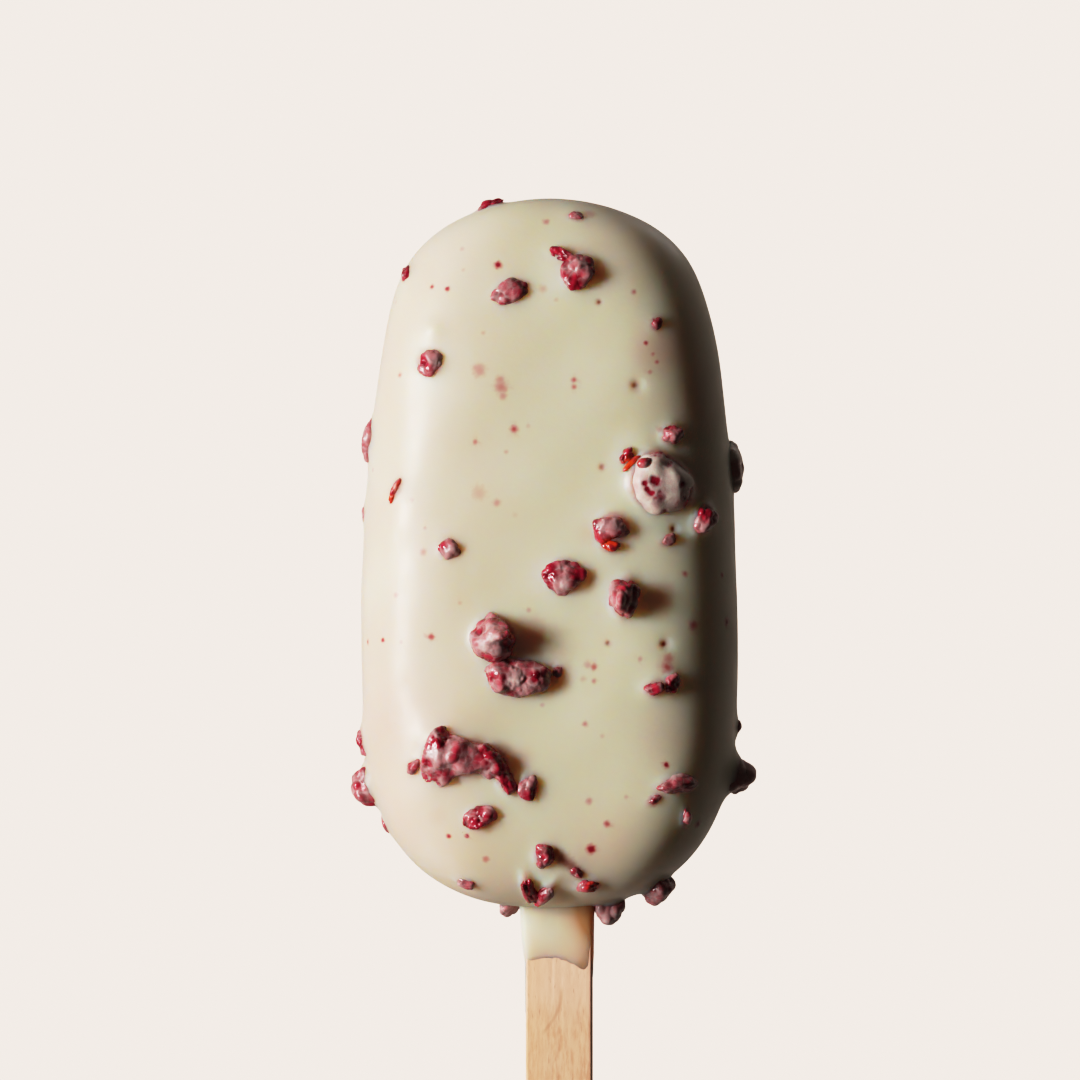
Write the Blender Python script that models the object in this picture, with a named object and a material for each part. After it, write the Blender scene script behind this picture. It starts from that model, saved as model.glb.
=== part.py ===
"""A gelato bar on a flat wooden stick, under white chocolate set with raspberry pieces.

It lies on its back: +X is the bar's right as seen from the front, +Y runs from the stick
to the crown and +Z comes out of the front. The origin is the centre of the small flat
spot on the back. Units are metres, and lengths below are millimetres times MM.
"""

import math
import random
from collections import namedtuple

import bmesh
import bpy
import numpy as np
from mathutils import Matrix, Vector, noise

MM = 0.001

# The bar under its coating: a flattened lozenge, narrower at the crown than at the stick.
BAR_LENGTH = 99.2 * MM
BAR_WIDTH = 52.7 * MM
BAR_THICKNESS = 26.0 * MM
WIDEST_Y = -6.7 * MM  # where the bar is widest
CROWN_NARROWING = 5.5 * MM  # half-width lost to the taper at the crown
CROWN_THINNING = 1.6 * MM  # half-thickness lost to it
TAPER_POWER = 1.5
SIDE_POWER = 4.5  # superellipse powers of the cross-section, across and through
FACE_POWER = 2.0
CROWN_ROUNDING = 1.6  # taken off the power across, towards the crown
# How roundly each end turns in: the power along the bar and the power across it.
CROWN_PLAN, FOOT_PLAN = (9.4, 1.8), (3.9, 2.38)  # seen from the front
CROWN_SIDE, FOOT_SIDE = (7.5, 2.0), (8.0, 2.0)  # seen from the side
RIPPLE = 0.15 * MM  # how far the poured coating strays from that form
FLAT_DEPTH = 0.30 * MM  # taken off the back by what the bar lies on
MID_Z = BAR_THICKNESS / 2 - FLAT_DEPTH
END_Y = BAR_LENGTH / 2
RINGS, RING_SIDES = 40, 48

# The stick, and the blind socket that it fills.
STICK_LENGTH = 114.0 * MM
STICK_WIDTH = 9.4 * MM
STICK_THICKNESS = 2.0 * MM
STICK_SHOWING = 50.0 * MM  # from the bar's lower end to the stick's tip
STICK_X = 1.35 * MM  # the stick sits a little to the right of the middle
STICK_TWIST = math.radians(-10.0)  # its right edge is turned up to the front
STICK_EDGE = 0.15 * MM
FIT_GAP = 0.3 * MM

# The film of coating that runs down the stick, with a wavy lower edge.
COLLAR_FILM = 0.4 * MM
COLLAR_LENGTH = 8.2 * MM
COLLAR_RISE = 1.0 * MM  # how much shorter it is in the middle of the front
COLLAR_SLANT = 0.95 * MM  # how much longer it is at its right
COLLAR_ARCH = 0.85 * MM  # how much longer it is at both of its sides
COLLAR_ROOT = 4.0 * MM  # how far it reaches up into the bar
COLLAR_SIDES = 36

BERRY_RED = (0.28, 0.012, 0.045, 1.0)
COATING_IVORY = (0.78, 0.70, 0.52, 1.0)
STICK_BEECH = (0.66, 0.44, 0.26, 1.0)

# One raspberry piece: the face of the bar it sits on, its place on that face and its
# length, width and height in millimetres, its heading in degrees and how far it is sunk,
# as a share of its height. (u, v) is (x, y) on the front and back, (y, z) on the left and
# right, and (x, z) on the crown and the foot, with z counted from the mid-plane.
Piece = namedtuple("Piece", "face u v length width height heading sunk", defaults=(0.45,))

# Pieces as large as a berry, each a solid of its own, built from overlapping lobes.
LARGE_PIECES = {
    "raspberry_cluster": (
        Piece("front", -14.9, -28.0, 7.6, 5.0, 4.4, 72),
        Piece("front", -11.4, -28.1, 6.4, 5.6, 4.2, 10),
        Piece("front", -8.0, -28.5, 5.2, 4.2, 3.8, -50),
        Piece("front", -6.2, -31.1, 4.6, 2.3, 2.6, -62),
        Piece("front", -13.8, -27.8, 5.8, 5.0, 4.8, 0),
    ),
    "raspberry_chunk_upper": (
        Piece("front", -7.8, -11.5, 6.4, 5.8, 5.8, 20),
        Piece("front", -7.3, -11.3, 4.6, 4.4, 8.4, 45),
    ),
    "raspberry_chunk_lower": (
        Piece("front", -6.0, -16.8, 4.6, 4.4, 4.4, 0),
        Piece("front", -2.8, -17.0, 4.8, 4.0, 4.4, 10),
        Piece("front", -4.4, -16.9, 6.4, 4.8, 4.9, 5),
    ),
}

# The lump that the coating has run over, fused to it like the pieces below.
COATED_LUMP = (
    Piece("front", 14.6, 9.4, 8.8, 7.4, 3.8, -20),
    Piece("front", 16.6, 10.3, 8.6, 5.0, 5.0, -48),
    Piece("front", 14.2, 12.0, 4.6, 4.4, 3.8, 60),
)

# Pieces of 2 mm and more that show on the front and round its outline.
SMALL_PIECES = (
    Piece("crown", -8.3, 1.2, 3.8, 2.2, 1.6, 0),
    Piece("front", 3.7, 46.7, 1.8, 1.3, 0.8, 0),
    Piece("left", 38.8, 3.6, 2.6, 1.8, 1.4, 40),
    Piece("front", 3.9, 38.9, 4.8, 4.0, 2.6, 70),
    Piece("front", 1.9, 41.1, 3.4, 1.6, 1.6, -25),
    Piece("front", -5.4, 36.2, 4.8, 2.8, 1.4, 15),
    Piece("front", -16.6, 26.2, 3.6, 3.0, 1.6, -20),
    Piece("front", 14.7, 31.6, 1.8, 1.3, 0.8, 50),
    Piece("left", 15.8, 2.0, 4.6, 2.6, 2.0, 0),
    Piece("left", 5.6, 1.0, 2.4, 1.2, 1.0, 0),
    Piece("front", -21.3, 8.7, 3.6, 1.2, 0.9, 57),
    Piece("front", -13.9, 0.5, 2.7, 2.2, 1.2, 15),
    Piece("front", 16.7, 16.3, 2.8, 2.5, 2.6, 40),
    Piece("front", 10.6, 13.2, 1.8, 1.4, 1.4, 60),
    Piece("front", 21.0, 4.7, 4.8, 3.0, 2.8, 60),
    Piece("front", 8.6, 3.5, 4.6, 4.2, 2.0, 10),
    Piece("front", 8.3, 1.0, 2.4, 1.5, 1.8, 0),
    Piece("front", 16.4, 1.8, 2.2, 1.2, 1.0, 25),
    Piece("front", 2.0, -3.2, 4.9, 4.5, 2.3, -10),
    Piece("front", 10.3, -6.0, 5.6, 3.6, 6.2, 80),
    Piece("front", 14.5, -18.6, 2.8, 2.0, 2.2, 10),
    Piece("front", 16.7, -17.9, 2.4, 1.8, 2.0, 70),
    Piece("front", 1.2, -16.4, 1.6, 1.1, 1.0, 70),
    Piece("front", -18.8, -29.5, 2.2, 1.4, 1.3, 50),
    Piece("front", -3.0, -32.3, 3.2, 2.6, 1.5, 80),
    Piece("front", -9.7, -36.5, 4.0, 3.0, 1.8, 25),
    Piece("left", -26.1, 2.5, 4.0, 2.4, 2.0, 5),
    Piece("left", -32.2, 1.0, 5.2, 4.2, 4.6, 10),
    Piece("left", -38.0, 1.0, 2.6, 1.2, 1.0, 0),
    Piece("front", -0.8, -41.7, 3.0, 2.4, 2.1, 80),
    Piece("front", 3.7, -44.0, 1.8, 1.1, 1.2, -50),
    Piece("front", 5.5, -45.9, 2.9, 2.0, 1.6, 10),
    Piece("front", -2.8, -46.6, 6.2, 1.8, 2.2, -76),
    Piece("front", -11.5, -45.7, 2.8, 1.3, 1.3, 0),
    Piece("front", 17.4, -31.9, 4.8, 2.2, 2.2, 5),
    Piece("front", 14.4, -34.0, 1.8, 1.0, 0.9, 30),
    Piece("front", 18.8, -36.5, 2.2, 1.2, 1.2, 85),
    Piece("right", 11.9, -1.0, 5.4, 4.2, 1.5, 0),
    Piece("right", -24.4, 0.0, 1.8, 1.4, 1.4, 0),
    Piece("right", -30.7, 1.0, 5.0, 4.4, 4.7, -15),
    Piece("foot", 14.8, 2.6, 4.4, 3.8, 4.0, 30),
    Piece("foot", 8.3, 1.2, 3.6, 3.2, 4.8, 20),
    Piece("foot", -5.5, -3.0, 2.8, 1.6, 3.6, -30),
    Piece("front", -0.9, -47.0, 5.6, 1.7, 1.7, 58),
)

# The back isn't photographed: its rim carries pieces of the same sizes, by a seeded rule.
BACK_PIECES = 26
BACK_SEED = 11
BACK_TALLEST = 1.3  # millimetres proud of the coating, so that none reaches the floor
BACK_SIZES = (1.8, 2.2, 2.8, 3.6, 4.4)
BACK_APART = 6.0

# A crumb is a rough ball cut by flat breaks. One shorter than this has the fewest faces.
CRUMB_BREAKS = 9
PLAIN_UNDER = 3.1


def clear_scene():
    for found in list(bpy.data.objects):
        bpy.data.objects.remove(found)


def principled(name, colour, roughness):
    made = bpy.data.materials.new(name)
    made.use_nodes = True
    shader = made.node_tree.nodes["Principled BSDF"]
    shader.inputs["Base Color"].default_value = colour
    shader.inputs["Roughness"].default_value = roughness
    shader.inputs["Metallic"].default_value = 0.0
    made.diffuse_color = colour
    return made


def add_object(name, shape, made, collection=None):
    """A mesh object from a bmesh, smooth but for its sharp edges."""
    bmesh.ops.recalc_face_normals(shape, faces=shape.faces)
    mesh = bpy.data.meshes.new(name)
    shape.to_mesh(mesh)
    shape.free()
    mesh.shade_smooth()
    mesh.set_sharp_from_angle(angle=math.radians(50))
    mesh.materials.append(made)
    added = bpy.data.objects.new(name, mesh)
    (collection or bpy.context.scene.collection).objects.link(added)
    return added


def ripple(points):
    """The coating's slow waves, from -1 to 1, as a sum of sines."""
    x, y, z = (points / MM).T
    waves = np.sin(0.21 * x + 0.13 * y + 0.6) + np.sin(0.17 * y - 0.24 * z + 2.1)
    return (waves + np.sin(0.33 * x - 0.29 * y + 0.31 * z + 4.0)) / 3


def along(y, at_widest, lost, crown_powers, foot_powers):
    """A half-width or half-thickness at y, tapered to the crown and round at both ends."""
    up = np.clip((y - WIDEST_Y) / (END_Y - WIDEST_Y), 0, 1)
    down = np.clip((WIDEST_Y - y) / (END_Y + WIDEST_Y), 0, 1)
    crown = (1 - up ** crown_powers[0]) ** (1 / crown_powers[1])
    foot = (1 - down ** foot_powers[0]) ** (1 / foot_powers[1])
    return (at_widest - lost * up**TAPER_POWER) * crown * foot


def level(points):
    """Under 0 inside the coated bar, 0 on its skin and over 0 outside it."""
    x, y, z = points.T
    beyond = np.maximum(np.abs(y) - END_Y, 0) / MM
    wide = along(y, BAR_WIDTH / 2, CROWN_NARROWING, CROWN_PLAN, FOOT_PLAN)
    thick = along(y, BAR_THICKNESS / 2, CROWN_THINNING, CROWN_SIDE, FOOT_SIDE)
    wide, thick = (np.maximum(side, 0.01 * MM) for side in (wide, thick))
    crown = np.clip((y - WIDEST_Y) / (END_Y - WIDEST_Y), 0, 1)
    across = np.abs(x / wide) ** (SIDE_POWER - CROWN_ROUNDING * crown**2)
    through = np.abs((z - MID_Z) / thick) ** FACE_POWER
    waves = RIPPLE / (BAR_THICKNESS / 5) * ripple(points)
    return np.where(beyond > 0, 1 + beyond, across + through - 1 - waves)


def skin_along(starts, directions):
    """Where rays from inside the bar leave its skin, by halving."""
    near = np.zeros(len(starts))
    far = np.full(len(starts), 1.2 * END_Y)
    for _ in range(40):
        middle = (near + far) / 2
        inside = level(starts + directions * middle[:, None]) < 0
        near, far = np.where(inside, middle, near), np.where(inside, far, middle)
    return starts + directions * near[:, None]


def loft(rings, first_end, last_end):
    """A closed surface through rings of points, with a fan to a point at each end."""
    shape = bmesh.new()
    rows = [[shape.verts.new(point) for point in ring] for ring in rings]
    ends = (shape.verts.new(first_end), rows[0]), (shape.verts.new(last_end), rows[-1])
    sides = len(rings[0])
    for i in range(sides):
        after = (i + 1) % sides
        for lower, upper in zip(rows, rows[1:]):
            shape.faces.new((lower[i], lower[after], upper[after], upper[i]))
        for end, row in ends:
            shape.faces.new((end, row[i], row[after]))
    return shape


def coated_body(made):
    """The coated bar as rings round its long axis, closer together where the ends turn in."""
    turns = np.linspace(0, math.pi, RINGS + 1)[1:-1]
    heights = -0.9995 * END_Y * np.sign(np.cos(turns)) * np.abs(np.cos(turns)) ** 0.8
    angles = np.linspace(0, 2 * math.pi, RING_SIDES, endpoint=False)
    outward = np.stack([np.cos(angles), np.zeros(RING_SIDES), np.sin(angles)], axis=1)
    middles = [np.tile([0.0, y, MID_Z], (RING_SIDES, 1)) for y in heights]
    rings = [skin_along(middle, outward) for middle in middles]
    shape = loft(rings, (0, -END_Y, MID_Z), (0, END_Y, MID_Z))
    for vert in shape.verts:
        vert.co.z = max(vert.co.z, 0.0)
    return add_object("coated_bar", shape, made)


def stick_outline(margin):
    """The stick's plan, grown by a margin: straight sides between two full rounds."""
    radius = STICK_WIDTH / 2 + margin
    turns = [math.pi * i / 12 for i in range(13)]
    straight = STICK_LENGTH / 2 - STICK_WIDTH / 2
    lower = [(-radius * math.cos(a), -straight - radius * math.sin(a)) for a in turns]
    upper = [(radius * math.cos(a), straight + radius * math.sin(a)) for a in turns]
    return lower + upper


def stick_shape(margin):
    """The stick, grown by a margin all over, flat in XY and centred on the origin."""
    shape = bmesh.new()
    thickness = STICK_THICKNESS + 2 * margin
    base = [shape.verts.new((x, y, -thickness / 2)) for x, y in stick_outline(margin)]
    grown = bmesh.ops.extrude_face_region(shape, geom=[shape.faces.new(base)])
    lifted = [item for item in grown["geom"] if isinstance(item, bmesh.types.BMVert)]
    bmesh.ops.translate(shape, verts=lifted, vec=(0, 0, thickness))
    return shape


def stick_place():
    tip_y = -END_Y - STICK_SHOWING
    centre = Vector((STICK_X, tip_y + STICK_LENGTH / 2, MID_Z))
    return Matrix.Translation(centre) @ Matrix.Rotation(STICK_TWIST, 4, "Y")


def wooden_stick(made):
    shape = stick_shape(0)
    rims = [edge for edge in shape.edges if edge.calc_face_angle() > 1.0]
    bmesh.ops.bevel(shape, geom=rims, offset=STICK_EDGE, segments=1, affect="EDGES")
    stick = add_object("stick", shape, made)
    stick.matrix_world = stick_place()
    return stick


def collar_edge(across, front):
    """How low the film reaches. Across is 1 at its right, and front is 1 at its front."""
    length = COLLAR_LENGTH + COLLAR_SLANT * across + COLLAR_ARCH * across**2
    return -END_Y - length + COLLAR_RISE * front * (1 - across**2)


def collar(made, collection):
    """The film round the stick, as the block that the socket then hollows."""
    margin = FIT_GAP + COLLAR_FILM
    half_x, half_z = STICK_WIDTH / 2 + margin, STICK_THICKNESS / 2 + margin
    root = -END_Y + COLLAR_ROOT
    rings = [[], []]
    for i in range(COLLAR_SIDES):
        angle = 2 * math.pi * i / COLLAR_SIDES
        across = math.copysign(abs(math.cos(angle)) ** 0.25, math.cos(angle))
        front = math.copysign(abs(math.sin(angle)) ** 0.5, math.sin(angle))
        for ring, y in zip(rings, (collar_edge(across, front), root)):
            ring.append((half_x * across, y, half_z * front))
    shape = loft(rings, (0, collar_edge(0, 1), 0), (0, root, 0))
    turn = Matrix.Rotation(STICK_TWIST, 4, "Y")
    shape.transform(Matrix.Translation((STICK_X, 0, MID_Z)) @ turn)
    return add_object("collar", shape, made, collection)


def seat(piece):
    """The point on the skin where a piece sits, and the skin's outward direction there."""
    u, v = piece.u * MM, piece.v * MM
    starts = {
        "front": ((u, v, MID_Z), (0, 0, 1)),
        "back": ((u, v, MID_Z), (0, 0, -1)),
        "left": ((0, u, MID_Z + v), (-1, 0, 0)),
        "right": ((0, u, MID_Z + v), (1, 0, 0)),
        "crown": ((u, 0, MID_Z + v), (0, 1, 0)),
        "foot": ((u, 0, MID_Z + v), (0, -1, 0)),
    }
    start, direction = (np.array([part], float) for part in starts[piece.face])
    point = skin_along(start, direction)[0]
    steps = np.eye(3) * 0.05 * MM
    rise = level(point + steps) - level(point - steps)
    return Vector(point), Vector(rise).normalized()


def piece_place(piece):
    """A frame on the skin: X along the piece's length, Z outward."""
    point, outward = seat(piece)
    right = Vector((1, 0, 0)) if abs(outward.x) < 0.8 else Vector((0, 1, 0))
    right = (right - outward * right.dot(outward)).normalized()
    frame = Matrix((right, outward.cross(right), outward)).transposed().to_4x4()
    frame.translation = point + outward * piece.height * MM * (0.5 - piece.sunk)
    return frame @ Matrix.Rotation(math.radians(piece.heading), 4, "Z")


def breaks(seed):
    """The planes that a crumb broke along: their directions and distances from its middle."""
    draw = random.Random(seed)
    found = []
    for _ in range(CRUMB_BREAKS):
        way = Vector(draw.gauss(0, 1) for _ in range(3)).normalized()
        found.append((way, draw.uniform(0.66, 0.98)))
    return found


def crumb(piece, seed, made, collection, detail=2, margin=0.0):
    """An angular lump of freeze-dried raspberry on its seat."""
    shape = bmesh.new()
    bmesh.ops.create_icosphere(shape, subdivisions=detail, radius=1.0)
    size = Vector((piece.length, piece.width, piece.height)) * MM / 2
    planes = breaks(seed)
    for vert in shape.verts:
        way = vert.co.normalized()
        cuts = [depth / max(way.dot(facing), 0.3) for facing, depth in planes]
        rough = noise.noise(way * 2.1 + Vector((seed * 3.1, seed * 1.7, 0)))
        reach = min(1.12, *cuts) * (1.0 + 0.16 * rough)
        vert.co = Vector(side * part for side, part in zip(size, way)) * reach
        vert.co += way * margin
    shape.transform(piece_place(piece))
    return add_object(f"crumb_{seed}", shape, made, collection)


def back_pieces():
    """Pieces round the rim of the back, clear of the flat spot and of each other."""
    draw = random.Random(BACK_SEED)
    found = []
    while len(found) < BACK_PIECES:
        u, v = draw.uniform(-23, 23), draw.uniform(-45, 45)
        size = draw.choice(BACK_SIZES)
        point, outward = seat(Piece("back", u, v, size, size, 1, 0))
        near_collar = abs(u) < 9 and v < -38
        room = point.z - BACK_TALLEST * MM - 0.3 * MM
        rim = level(np.array([(1.1 * u * MM, 1.07 * v * MM, MID_Z)]))[0]
        if room < 0 or near_collar or outward.z > -0.15 or rim > 0:
            continue
        if any(math.hypot(u - o.u, v - o.v) < BACK_APART for o in found):
            continue
        height = min(0.7 * size, BACK_TALLEST / 0.55)
        wide = size * draw.uniform(0.55, 0.9)
        found.append(Piece("back", u, v, size, wide, height, draw.uniform(0, 180)))
    return found


def apply_boolean(target, operation, operand):
    """Joins target to a collection, or cuts one object from it, and keeps the result."""
    change = target.modifiers.new(operation.lower(), "BOOLEAN")
    change.operation = operation
    change.solver = "EXACT"
    if isinstance(operand, bpy.types.Collection):
        change.operand_type = "COLLECTION"
        change.collection = operand
    else:
        change.object = operand
    graph = bpy.context.evaluated_depsgraph_get()
    result = bpy.data.meshes.new_from_object(target.evaluated_get(graph))
    target.modifiers.clear()
    target.data = result


def remove_all(objects):
    for found in list(objects):
        bpy.data.objects.remove(found)


def new_collection(name):
    made = bpy.data.collections.new(name)
    bpy.context.scene.collection.children.link(made)
    return made


def large_piece(name, lobes, seed, made, margin=0.0):
    """A large raspberry piece of overlapping lobes as one solid."""
    rest = new_collection(f"{name}_lobes")
    crumbs = [
        crumb(lobe, seed + i, made, rest, 3 if i == 0 else 2, margin)
        for i, lobe in enumerate(lobes)
    ]
    body = crumbs[0]
    rest.objects.unlink(body)
    bpy.context.scene.collection.objects.link(body)
    body.name = name
    apply_boolean(body, "UNION", rest)
    remove_all(rest.objects)
    bpy.data.collections.remove(rest)
    return body


def loose_parts_removed(target):
    """Keeps the largest connected body, so that no cut-off scrap stays."""
    shape = bmesh.new()
    shape.from_mesh(target.data)
    unseen, islands = set(shape.verts), []
    while unseen:
        island, edge = set(), [unseen.pop()]
        while edge:
            vert = edge.pop()
            island.add(vert)
            for link in vert.link_edges:
                other = link.other_vert(vert)
                if other in unseen:
                    unseen.discard(other)
                    edge.append(other)
        islands.append(island)
    islands.sort(key=len)
    scraps = [vert for island in islands[:-1] for vert in island]
    bmesh.ops.delete(shape, geom=scraps, context="VERTS")
    shape.to_mesh(target.data)
    shape.free()


def build():
    clear_scene()
    ivory = principled("white_chocolate", COATING_IVORY, 0.35)
    berry = principled("raspberry", BERRY_RED, 0.45)
    beech = principled("beech_wood", STICK_BEECH, 0.65)

    bar = coated_body(ivory)
    relief = new_collection("relief")
    collar(ivory, relief)
    for seed, piece in enumerate(COATED_LUMP, start=100):
        crumb(piece, seed, ivory, relief)
    for seed, piece in enumerate((*SMALL_PIECES, *back_pieces()), start=200):
        crumb(piece, seed, berry, relief, 1 if piece.length < PLAIN_UNDER else 2)
    apply_boolean(bar, "UNION", relief)
    remove_all(relief.objects)
    bpy.data.collections.remove(relief)

    for seed, (name, lobes) in enumerate(LARGE_PIECES.items()):
        pocket = large_piece(f"{name}_pocket", lobes, 10 * seed, ivory, FIT_GAP)
        apply_boolean(bar, "DIFFERENCE", pocket)
        bpy.data.objects.remove(pocket)
        large_piece(name, lobes, 10 * seed, berry)

    socket = add_object("socket", stick_shape(FIT_GAP), ivory)
    socket.matrix_world = stick_place()
    bpy.context.view_layer.update()
    apply_boolean(bar, "DIFFERENCE", socket)
    bpy.data.objects.remove(socket)
    loose_parts_removed(bar)
    wooden_stick(beech)


build()
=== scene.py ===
import functools
import itertools
import math
import random
from collections import namedtuple

import bmesh
import bpy
import numpy as np
from mathutils import Matrix, Vector, noise


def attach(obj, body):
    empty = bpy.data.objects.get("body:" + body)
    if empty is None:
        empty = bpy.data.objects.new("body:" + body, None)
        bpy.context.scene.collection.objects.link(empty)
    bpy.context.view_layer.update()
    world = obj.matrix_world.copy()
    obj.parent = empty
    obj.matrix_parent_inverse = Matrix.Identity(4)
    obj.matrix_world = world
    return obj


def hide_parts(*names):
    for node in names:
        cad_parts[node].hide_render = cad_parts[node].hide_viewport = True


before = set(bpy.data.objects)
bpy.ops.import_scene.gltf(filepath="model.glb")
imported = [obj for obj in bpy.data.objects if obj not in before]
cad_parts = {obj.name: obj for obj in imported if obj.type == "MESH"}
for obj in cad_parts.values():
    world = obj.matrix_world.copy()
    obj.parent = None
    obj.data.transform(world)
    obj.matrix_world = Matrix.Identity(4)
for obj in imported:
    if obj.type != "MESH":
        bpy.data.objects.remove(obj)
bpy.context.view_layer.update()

MM = 0.001
PHOTO_MM = 0.14  # millimetres that one pixel of the photo covers at the bar's mid-plane
PHOTO_MIDDLE = 540.0
CAMERA_U, CAMERA_V, CAMERA_DISTANCE = -1.35, 1.8, 800.0  # over the bar's front, millimetres

# The same form, stick and film as the CAD part.
BAR_LENGTH = 99.2 * MM
BAR_WIDTH = 52.7 * MM
BAR_THICKNESS = 26.0 * MM
WIDEST_Y = -6.7 * MM
CROWN_NARROWING = 5.5 * MM
CROWN_THINNING = 1.6 * MM
CROWN_ROUNDING = 1.6
TAPER_POWER = 1.5
SIDE_POWER = 4.5
FACE_POWER = 2.0
CROWN_PLAN, FOOT_PLAN = (9.4, 1.8), (3.9, 2.38)
CROWN_SIDE, FOOT_SIDE = (7.5, 2.0), (8.0, 2.0)
RIPPLE = 0.15 * MM
FLAT_DEPTH = 0.30 * MM
MID_Z = BAR_THICKNESS / 2 - FLAT_DEPTH
END_Y = BAR_LENGTH / 2

STICK_LENGTH = 114.0 * MM
STICK_WIDTH = 9.4 * MM
STICK_THICKNESS = 2.0 * MM
STICK_SHOWING = 50.0 * MM
STICK_X = 1.35 * MM
STICK_TWIST = math.radians(-10.0)
STICK_EDGE = 0.22 * MM
STICK_Y = -END_Y - STICK_SHOWING + STICK_LENGTH / 2  # the middle of the stick

COLLAR_FILM = 0.7 * MM  # the film lies on the stick itself
COLLAR_LENGTH = 8.2 * MM
COLLAR_RISE = 1.0 * MM
COLLAR_SLANT = 0.95 * MM
COLLAR_ARCH = 0.85 * MM
COLLAR_ROOT = 4.0 * MM

# A piece of fruit on one face of the bar: where it sits, its sizes in millimetres, its heading
# in degrees and the share of its height that is sunk.
Piece = namedtuple("Piece", "u v length width height heading face sunk", defaults=("front", 0.45))

LARGE_PIECES = {
    "raspberry_cluster": (
        Piece(-14.9, -28.0, 7.6, 5.0, 4.4, 72),
        Piece(-11.4, -28.1, 6.4, 5.6, 4.2, 10),
        Piece(-8.0, -28.5, 5.2, 4.2, 3.8, -50),
        Piece(-6.2, -31.1, 4.6, 2.3, 2.6, -62),
        Piece(-13.8, -27.8, 5.8, 5.0, 4.8, 0),
    ),
    "raspberry_chunk_upper": (
        Piece(-7.8, -11.5, 6.4, 5.8, 5.8, 20),
        Piece(-7.3, -11.3, 4.6, 4.4, 8.4, 45),
    ),
    "raspberry_chunk_lower": (
        Piece(-6.0, -16.8, 4.6, 4.4, 4.4, 0),
        Piece(-2.8, -17.0, 4.8, 4.0, 4.4, 10),
        Piece(-4.4, -16.9, 6.4, 4.8, 4.9, 5),
    ),
}

COATED_LUMP = (
    Piece(14.6, 9.4, 8.8, 7.4, 3.8, -20),
    Piece(16.6, 10.3, 8.6, 5.0, 5.0, -48),
    Piece(14.2, 12.0, 4.6, 4.4, 3.8, 60),
)

SMALL_PIECES = [Piece(*row) for row in (
    (-8.3, 1.2, 3.8, 2.2, 1.6, 0, "crown"), (3.7, 46.7, 1.8, 1.3, 0.8, 0),
    (38.8, 3.6, 2.6, 1.8, 1.4, 40, "left"), (3.9, 38.9, 4.8, 4, 2.6, 70),
    (1.9, 41.1, 3.4, 1.6, 1.6, -25), (-5.4, 36.2, 4.8, 2.8, 1.4, 15),
    (-16.6, 26.2, 3.6, 3, 1.6, -20), (14.7, 31.6, 1.8, 1.3, 0.8, 50),
    (15.8, 2, 4.6, 2.6, 2, 0, "left"), (5.6, 1, 2.4, 1.2, 1, 0, "left"),
    (-21.3, 8.7, 3.6, 1.2, 0.9, 57), (-13.9, 0.5, 2.7, 2.2, 1.2, 15),
    (16.7, 16.3, 2.8, 2.5, 2.6, 40), (10.6, 13.2, 1.8, 1.4, 1.4, 60), (21, 4.7, 4.8, 3, 2.8, 60),
    (8.6, 3.5, 4.6, 4.2, 2, 10), (8.3, 1, 2.4, 1.5, 1.8, 0), (16.4, 1.8, 2.2, 1.2, 1, 25),
    (2, -3.2, 4.9, 4.5, 2.3, -10), (10.3, -6, 5.6, 3.6, 6.2, 80), (14.5, -18.6, 2.8, 2, 2.2, 10),
    (16.7, -17.9, 2.4, 1.8, 2, 70), (1.2, -16.4, 1.6, 1.1, 1, 70),
    (-18.8, -29.5, 2.2, 1.4, 1.3, 50), (-3, -32.3, 3.2, 2.6, 1.5, 80),
    (-9.7, -36.5, 4, 3, 1.8, 25), (-26.1, 2.5, 4, 2.4, 2, 5, "left"),
    (-32.2, 1, 5.2, 4.2, 4.6, 10, "left"), (-38, 1, 2.6, 1.2, 1, 0, "left"),
    (-0.8, -41.7, 3, 2.4, 2.1, 80), (3.7, -44, 1.8, 1.1, 1.2, -50), (5.5, -45.9, 2.9, 2, 1.6, 10),
    (-2.8, -46.6, 6.2, 1.8, 2.2, -76), (-11.5, -45.7, 2.8, 1.3, 1.3, 0),
    (17.4, -31.9, 4.8, 2.2, 2.2, 5), (14.4, -34, 1.8, 1, 0.9, 30),
    (18.8, -36.5, 2.2, 1.2, 1.2, 85), (11.9, -1, 5.4, 4.2, 1.5, 0, "right"),
    (-24.4, 0, 1.8, 1.4, 1.4, 0, "right"), (-30.7, 1, 5, 4.4, 4.7, -15, "right"),
    (14.8, 2.6, 4.4, 3.8, 4, 30, "foot"), (8.3, 1.2, 3.6, 3.2, 4.8, 20, "foot"),
    (-5.5, -3, 2.8, 1.6, 3.6, -30, "foot"), (-0.9, -47, 5.6, 1.7, 1.7, 58),
)]

BACK_PIECES, BACK_SEED = 26, 11
BACK_REACH = 23, 45  # millimetres to each side of the middle, across and along
BACK_TALLEST = 1.3
BACK_SIZES = (1.8, 2.2, 2.8, 3.6, 4.4)
BACK_APART = 6.0
CRUMB_BREAKS = 9
LUMP_SEED, SMALL_SEED, BITS_SEED = 100, 200, 400

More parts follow.
